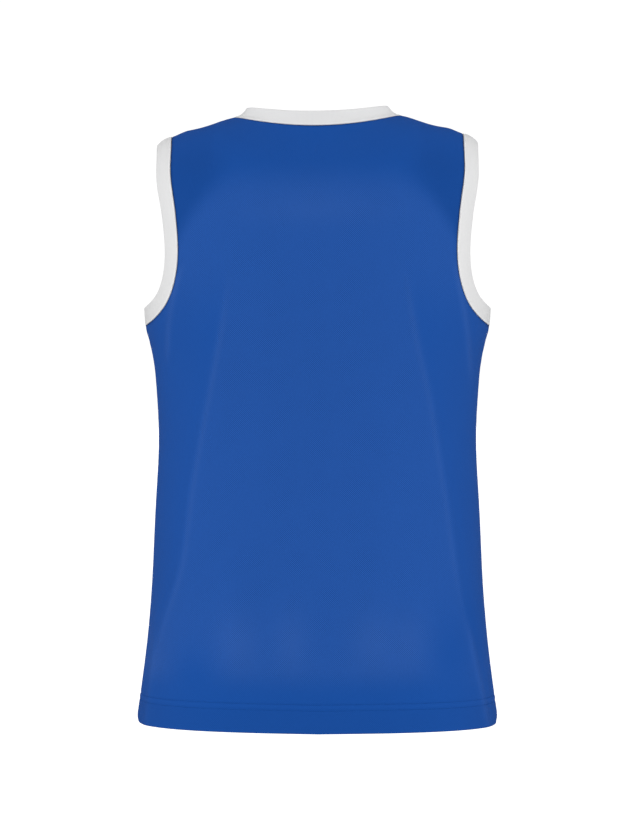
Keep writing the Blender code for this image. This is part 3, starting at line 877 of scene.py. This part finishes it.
class Graph:
    """A new cloth material, and short names for the nodes that make its pattern."""

    def __init__(self, name, roughness, specular, sheen=0.0, sheen_tint=(1.0, 1.0, 1.0)):
        self.material = bpy.data.materials.new(name)
        self.material.use_nodes = True
        self.tree = self.material.node_tree
        self.shader = self.tree.nodes["Principled BSDF"]
        self.set({"Roughness": roughness, "Specular IOR Level": specular,
                  "Sheen Weight": sheen, "Sheen Roughness": SHEEN_ROUGHNESS,
                  "Sheen Tint": (*sheen_tint, 1.0)})

    def set(self, values):
        """Give the shader constant values."""
        for key, value in values.items():
            self.shader.inputs[key].default_value = value

    def put(self, socket, value):
        """Set a socket to a number or colour, or link it to another node's output."""
        if isinstance(value, bpy.types.NodeSocket):
            self.tree.links.new(value, socket)
        else:
            socket.default_value = value

    def node(self, kind, settings, inputs, output):
        """A node with its settings and inputs, and one of its outputs."""
        made = self.tree.nodes.new(kind)
        for key, value in settings.items():
            setattr(made, key, value)
        for key, value in inputs.items():
            self.put(made.inputs[key], value)
        return made.outputs[output]

    def math(self, operation, first, second=0.0):
        """One step of arithmetic."""
        return self.node("ShaderNodeMath", {"operation": operation}, {0: first, 1: second}, 0)

    def times(self, *values):
        """The product of values."""
        return reduce(partial(self.math, "MULTIPLY"), values)

    def plus(self, *values):
        """The sum of values."""
        return reduce(partial(self.math, "ADD"), values)

    def mixed(self, parts, shares):
        """The sum of parts, each times its share."""
        return self.plus(*(self.times(part, share) for part, share in zip(parts, shares)))

    def wave(self, place, pitch):
        """A cosine of a place on the cloth, one turn for each pitch."""
        return self.math("COSINE", self.times(place, 2.0 * math.pi / pitch))

    def painted(self, name):
        """What a mesh was painted with."""
        return self.node("ShaderNodeAttribute", {"attribute_name": name}, {}, "Fac")

    def cloth_place(self):
        """The two places, in metres, of a point on the cloth laid flat."""
        uv = self.node("ShaderNodeUVMap", {"uv_map": "cloth"}, {}, "UV")
        split = self.tree.nodes.new("ShaderNodeSeparateXYZ")
        self.put(split.inputs[0], uv)
        return split.outputs[0], split.outputs[1]

    def noise(self, scale, detail):
        """Noise from 0 to 1 over the object."""
        place = self.node("ShaderNodeTexCoord", {}, {}, "Object")
        inputs = {"Vector": place, "Scale": scale, "Detail": detail, "Roughness": FINE_NOISE}
        return self.node("ShaderNodeTexNoise", {}, inputs, "Fac")

    def span(self, value, low, high):
        """A value from 0 to 1, spread from low to high."""
        return self.plus(self.times(value, high - low), low)

    def bell(self, value, centre, width):
        """1 where a value is at the centre, falling to 0 round it."""
        away = self.math("DIVIDE", self.math("SUBTRACT", value, centre), width)
        return self.math("EXPONENT", self.times(away, away, -1.0))

    def colour(self, colour, brightness):
        """The base colour, made brighter or darker from place to place."""
        scaled = self.node("ShaderNodeVectorMath", {"operation": "SCALE"},
                           {0: colour, "Scale": brightness}, 0)
        self.put(self.shader.inputs["Base Color"], scaled)

    def bump(self, height, distance, strength):
        """Raise the surface by height, which is in units of distance."""
        normal = self.node("ShaderNodeBump", {}, {"Height": height, "Distance": distance,
                                                  "Strength": strength}, "Normal")
        self.put(self.shader.inputs["Normal"], normal)


def micro_mesh_material():
    """A matte polyester knit with staggered dimples between fine wales."""
    graph = Graph("blue_micro_mesh", roughness=0.75, specular=0.06, sheen=0.010,
                  sheen_tint=(0.45, 0.60, 0.95))
    across, along = graph.cloth_place()
    cells = graph.times(graph.wave(across, MESH_PITCH), graph.wave(along, MESH_PITCH))
    dimple = graph.math("MAXIMUM", graph.times(cells, -1.0), 0.0)
    loops = graph.times(graph.wave(across, WALE_PITCH), graph.wave(along, COURSE_PITCH))
    fuzz = graph.noise(scale=2600.0, detail=2.0)
    clouds = graph.noise(scale=9.0, detail=3.0)
    graph.bump(graph.mixed((dimple, loops, fuzz), MESH_PARTS), *MESH_RELIEF)
    # The knit's tightness, which carries painted light and shade along with it.
    tight = graph.painted("tightness_and_painted_light")
    some = graph.math("MAXIMUM", graph.math("MINIMUM", tight, 1.0), 0.0)
    # The cloth is as light on the whole as one without dimples.
    pattern = graph.times(graph.span(some, *DIMPLE_SHADE),
                          graph.math("SUBTRACT", DIMPLE_MEAN, dimple))
    # Pattern, noise and painted shade set how light the knit is.
    light = graph.times(graph.plus(pattern, 1.0), graph.span(clouds, *MESH_CLOUDS),
                        graph.span(fuzz, *MESH_FUZZ), graph.painted("painted_shade"))
    # The blue runs from the slack blue in painted shade to the tight, lit one.
    lighter = [tight_part - slack_part for tight_part, slack_part in zip(TIGHT_LIT_BLUE, SLACK_SHADED_BLUE)]
    blue = graph.node("ShaderNodeVectorMath", {"operation": "MULTIPLY_ADD"},
                      {0: lighter, 1: tight, 2: SLACK_SHADED_BLUE}, 0)
    graph.colour(blue, light)
    return graph.material


def rib_material():
    """A matte doubled rib, its ribs running across the band."""
    graph = Graph("pale_rib_knit", roughness=0.80, specular=0.15, sheen=0.05)
    along, across = graph.cloth_place()
    ribs = graph.wave(along, RIB_PITCH)
    loops = graph.times(graph.wave(along, RIB_PITCH / 2.0), graph.wave(across, LOOP_PITCH))
    fuzz = graph.noise(scale=2400.0, detail=2.0)
    clouds = graph.noise(scale=14.0, detail=2.0)
    graph.bump(graph.mixed((ribs, loops, fuzz), RIB_PARTS), *RIB_RELIEF)
    # A painted highlight along the band's seam and painted shade along its fold.
    seam = graph.bell(across, RIB_SEAM_PLACE, RIB_LINE_WIDTH)
    fold_shade = graph.bell(across, ARMHOLE_BAND_WIDTH, RIB_LINE_WIDTH)
    light = graph.times(graph.span(graph.span(ribs, 0.5, 1.0), *RIB_LIGHT),
                        graph.span(clouds, *RIB_CLOUDS), graph.span(seam, *RIB_SEAM_HIGHLIGHT),
                        graph.span(fold_shade, *RIB_FOLD_SHADE))
    graph.colour(PALE_RIB, light)
    return graph.material


def thread_material():
    """Twisted polyester thread."""
    graph = Graph("blue_thread", roughness=0.60, specular=0.06)
    fuzz = graph.noise(scale=3800.0, detail=1.0)
    graph.bump(fuzz, *THREAD_RELIEF)
    graph.colour(BLUE_THREAD, graph.span(fuzz, *THREAD_LIGHT))
    return graph.material


# --- Stitches and seam allowances ---

STITCH_STEP = 0.0029
STITCH_LENGTH = 0.0023
STITCH_RADIUS = 0.00028
STITCH_SIDES = 6
STITCH_MARGIN = 0.004       # from a side seam to the first stitch
STITCH_STAND = 0.35         # how far a thread's middle lies above the cloth, in radii
STITCH_AIM = 0.25           # how far either way it takes its direction from, in columns
# A stitch along its length: (place, radius), as shares of its length and its radius.
STITCH_RINGS = ((-0.50, 0.30), (-0.40, 0.80), (-0.15, 1.00), (0.15, 1.00), (0.40, 0.80),
                (0.50, 0.30))


def read_columns(net, lengths, place):
    """Each column's point at one length along it."""
    return np.array([read(net[:, column], lengths[:, column], place)
                     for column in range(net.shape[1])])


def stitches_mesh(name, lines):
    """Short threads that lie end to end along lines, each of (points, normals)."""
    turn = 2.0 * math.pi * np.arange(STITCH_SIDES)[:, None] / STITCH_SIDES
    number = np.arange(len(STITCH_RINGS) * STITCH_SIDES).reshape(-1, STITCH_SIDES)
    stitch = [*grid_faces(number, False, True).tolist(), number[0, ::-1].tolist(),
              number[-1].tolist()]
    points = []
    for line, normals in lines:
        lengths, count = lengths_along(line, 0), np.arange(len(line))
        places = np.arange(STITCH_MARGIN, lengths[-1] - STITCH_MARGIN, STITCH_STEP)
        spots = np.interp(places, lengths, count)
        up = unit(read(normals, count, spots))
        ahead = unit(read(line, count, spots + STITCH_AIM) - read(line, count, spots - STITCH_AIM))
        for centre, rise, forward in zip(read(line, count, spots), up, ahead):
            ring = np.cos(turn) * unit(np.cross(rise, forward)) + np.sin(turn) * rise
            for place, radius in STITCH_RINGS:
                middle = centre + forward * place * STITCH_LENGTH
                points.append(middle + radius * STITCH_RADIUS * ring)
    points = np.concatenate(points)
    faces = [[start + corner for corner in face]
             for start in range(0, len(points), number.size) for face in stitch]
    return smooth_mesh(name, points, faces)


def hem_stitches(name, net, outer):
    """The two needle lines of a panel's hem."""
    normals = net_normals(net)
    face = net + normals * outer[..., None]
    lengths = lengths_along(net, 0)
    lines = []
    for place in HEM_LINES:
        facing = unit(read_columns(normals, lengths, place))
        line = read_columns(face, lengths, place) + facing * STITCH_RADIUS * STITCH_STAND
        lines.append((line, facing))
    return stitches_mesh(name, lines)


# The section of an overlocked seam allowance: how far in from the seam, and how deep.
ALLOWANCE_SECTION = (
    (-0.0012, 0.00040), (-0.0014, 0.00085), (-0.0009, 0.00125), (0.0010, 0.00140),
    (0.0030, 0.00135), (0.0050, 0.00140), (0.0062, 0.00120), (0.0067, 0.00080),
    (0.0062, 0.00045), (0.0040, 0.00038), (0.0015, 0.00035))
OPEN_SEAM_LIFT = 0.00022    # how far an open seam's allowance lies above the bands' own
BAND_SEAM_LEAN = 0.28       # how steeply a band's allowance stands off the panels' inside
SEAM_START = 0.0012         # how far above the hem a side seam's allowance begins


def allowance_mesh(name, line, normals, outward, closed):
    """The strip of an overlocked seam, on the inside of the cloth beside a line."""
    inward, depth = np.array(ALLOWANCE_SECTION).T[..., None]
    if closed:
        depth = depth + BAND_SEAM_LEAN * np.maximum(inward, 0.0)
    net = line[:, None] - outward[:, None] * inward - normals[:, None] * depth
    number = np.arange(net[..., 0].size).reshape(net.shape[:2])
    faces = grid_faces(number, closed, True)
    caps = [] if closed else [number[0, ::-1], number[-1]]
    first, corner = net[0], net[0, 0]
    facing = np.cross(first[1] - corner, net[1, 0] - corner)
    if np.dot(facing, corner - first.mean(axis=0)) < 0.0:
        faces = faces[:, ::-1]
        caps = [cap[::-1] for cap in caps]
    flat = np.broadcast_arrays(lengths_along(line, 0)[:, None], inward[:, 0])
    return smooth_mesh(name, net, [*faces.tolist(), *(cap.tolist() for cap in caps)],
                       np.stack(flat, axis=-1))


# --- The jersey ---


def laid_flat(net, underarm, crest):
    """Where each point of a panel's net is on the cloth laid flat: across and up."""
    along_row = lengths_along(net, 1)
    up = lengths_along(net, 0)
    # From the underarm the columns lean in, so the middle column measures the way up.
    middle = net.shape[1] // 2
    rise = np.interp(net[..., 2], net[:, middle, 2], up[:, middle])
    leaning = rise[underarm:crest] - rise[underarm] + up[underarm]
    over = up[crest:] - up[crest - 1] + leaning[-1]
    flat_up = np.concatenate((up[:underarm], leaning, over))
    return np.stack((along_row - along_row[:, -1:] / 2.0, flat_up), axis=-1)


def add_panel(panel, net, rows, blue, thread):
    outer, inner = panel_walls(net)
    mesh = shell_mesh(panel + "_panel_cloth", net, outer, inner, False, laid_flat(net, *rows))
    paint(mesh, np.tile(tightness_and_painted_light(net, panel).ravel(), 2), np.tile(painted_shade(net).ravel(), 2))
    piece = add_piece(mesh, blue, "blue_knit", panel + "_panel")
    stitches = add_piece(hem_stitches(panel + "_hem_stitches", net, outer), thread, "blue_knit")


def close_map(mesh, length):
    """Carry a closed band's map on past its end, where its last faces join its first."""
    layer = mesh.uv_layers["cloth"].data
    flat = np.zeros(len(mesh.loops) * 2, dtype=np.float32)
    layer.foreach_get("uv", flat)
    corners = flat.reshape(-1, 4, 2)
    wide = np.ptp(corners[..., 0], axis=1) > length / 2.0
    low = corners[..., 0] < length / 2.0
    corners[..., 0] += np.where(wide[:, None] & low, length, 0.0)
    layer.foreach_set("uv", corners.ravel())


def add_band(name, loop, facing, lifts, width, material):
    """A doubled rib band that goes on from a closed edge of the panels, and its seam."""
    loop, facing = evenly(loop, facing)
    facing = unit(evened(facing, FRAME_REACH, "wrap"))
    outward = band_frame(loop, facing)
    net, places = band_net(loop, facing, outward, lifts(loop), width)
    ring = lengths_along(net[0], 0)
    length = float(ring[-1] + np.linalg.norm(net[0, 0] - net[0, -1]))
    ribs = round(length / RIB_PITCH) * RIB_PITCH
    cloth_map = np.stack(np.broadcast_arrays(ring * ribs / length, places[:, None]), axis=-1)
    mesh = shell_mesh(name + "_rib", net, *band_walls(places, width), True, cloth_map)
    close_map(mesh, ribs)
    piece = add_piece(mesh, material, "pale_rib", name)
    mesh = allowance_mesh(name + "_allowance", loop, facing, outward, True)
    allowance = add_piece(mesh, material, "pale_rib")


def add_seam(name, line, normals, material):
    """The overlocked allowance of an open seam, pressed towards the back."""
    normals = unit(normals)
    outward = unit(np.cross(normals, unit(np.gradient(line, axis=0))))
    outward *= np.sign(outward[:, 1:2])
    line = line + normals * OPEN_SEAM_LIFT
    mesh = allowance_mesh(name, line, normals, outward, False)
    paint(mesh, SLACK_SHADED_HEM, 1.0)
    add_piece(mesh, material, "blue_knit")


def band_edge(name, straps, underarm, back, front):
    """The closed edge of the two panels that a band is sewn to."""
    if name == "neck_band":
        first, last = straps
        return joined_loop(back[-1, first:last + 1], front[-1, first:last + 1])
    column = -1 if name.endswith("right") else 0
    return joined_loop(back[underarm:, column], front[underarm:, -1 - column][::-1])


def build_jersey():
    """Every piece of the garment."""
    blue, pale, thread = micro_mesh_material(), rib_material(), thread_material()
    nets, facings, (_, underarm), (_, crest) = zip(*map(panel_net, PANELS))
    for panel, net in zip(PANELS, nets):
        add_panel(panel, net, (underarm, crest), blue, thread)
    straps = [int(np.argmin(np.abs(column_places() - end))) for end in (-STRAP, STRAP)]
    for name, lifts, width in (("neck_band", neck_lifts, NECK_BAND_WIDTH),
                               ("armhole_band_right", armhole_lifts, ARMHOLE_BAND_WIDTH),
                               ("armhole_band_left", armhole_lifts, ARMHOLE_BAND_WIDTH)):
        loop, facing = (band_edge(name, straps, underarm, *pair) for pair in (nets, facings))
        add_band(name, loop, unit(facing), lifts, width, pale)
    back, facing = nets[0], facings[0]
    for side, column, strap in (("right", -1, slice(straps[1], None)),
                                ("left", 0, slice(straps[0] + 1))):
        up = lengths_along(back, 0)[:underarm + 1, column]
        for seam, spots in (("side", (np.nonzero(up > SEAM_START)[0], column)),
                            ("shoulder", (-1, strap))):
            add_seam(seam + "_seam_" + side, back[spots], facing[spots], blue)


# --- Surroundings ---

FLOOR_HEIGHT = -1.45        # where the wearer's feet would stand
FLOOR_SIZE = 800.0
CAMERA_PLACE = (-0.0029, -3.0, -0.356)
CAMERA_LENS = 109.9         # millimetres, on a sensor of 36
AMBIENT = 0.325
BACKDROP = 1.05
# Soft boxes: where each stands round the garment and how far above the ground, in degrees,
# how far off, its size and its power in watts. The first is on the camera's side.
SoftBox = namedtuple("SoftBox", "name turn climb distance size power")
SOFT_BOXES = (
    SoftBox("before", 0.0, 0.0, 3.8, 1.8, 95.0),
    SoftBox("right", 90.0, 0.0, 3.8, 1.8, 56.0),
    SoftBox("behind", 180.0, 0.0, 3.8, 1.8, 95.0),
    SoftBox("left", 270.0, 0.0, 3.8, 1.8, 56.0),
    SoftBox("above", 0.0, 90.0, 3.2, 2.2, 28.0),
)
AIM = (0.0, 0.0, -0.36)


def add_floor():
    """A plain pale floor, bright enough to run on into the backdrop."""
    mesh = bpy.data.meshes.new("floor")
    half = FLOOR_SIZE / 2.0
    corners = ((-half, -half), (half, -half), (half, half), (-half, half))
    mesh.from_pydata([(x, y, FLOOR_HEIGHT) for x, y in corners], [], [(0, 1, 2, 3)])
    floor = added("floor", mesh)
    graph = Graph("pale_floor", roughness=0.9, specular=0.0)
    graph.set({"Base Color": (0.80, 0.80, 0.80, 1.0), "Emission Color": (1.0, 1.0, 1.0, 1.0),
               "Emission Strength": 1.0})
    mesh.materials.append(graph.material)
    floor.visible_diffuse = False
    floor.visible_glossy = False


def add_lights():
    """Soft boxes all round, and an even backdrop."""
    for box in SOFT_BOXES:
        turn, climb = math.radians(box.turn), math.radians(box.climb)
        light = bpy.data.lights.new(box.name, "AREA")
        light.shape = "SQUARE"
        light.size = box.size
        light.energy = box.power
        lamp = added(box.name, light)
        lamp.location = (AIM[0] + box.distance * math.sin(turn) * math.cos(climb),
                         AIM[1] - box.distance * math.cos(turn) * math.cos(climb),
                         AIM[2] + box.distance * math.sin(climb))
        lamp.rotation_euler = (math.pi / 2.0 - climb, 0.0, turn)
        lamp.visible_camera = False
    world = bpy.data.worlds.new("studio")
    world.use_nodes = True
    tree = world.node_tree
    background = tree.nodes["Background"]
    background.inputs["Color"].default_value = (1.0, 1.0, 1.0, 1.0)
    path = tree.nodes.new("ShaderNodeLightPath")
    spread = tree.nodes.new("ShaderNodeMath")
    spread.operation = "MULTIPLY_ADD"
    spread.inputs[1].default_value = BACKDROP - AMBIENT
    spread.inputs[2].default_value = AMBIENT
    tree.links.new(path.outputs["Is Camera Ray"], spread.inputs[0])
    tree.links.new(spread.outputs[0], background.inputs["Strength"])
    bpy.context.scene.world = world


def add_camera():
    """A camera straight behind the garment, at the height of its waist."""
    data = bpy.data.cameras.new("camera")
    data.lens = CAMERA_LENS
    data.sensor_width = 36.0
    camera = added("camera", data)
    camera.location = CAMERA_PLACE
    camera.rotation_euler = (math.pi / 2.0, 0.0, 0.0)
    bpy.context.scene.camera = camera
    bpy.context.scene.view_settings.view_transform = "Standard"


build_jersey()
add_floor()
add_lights()
add_camera()
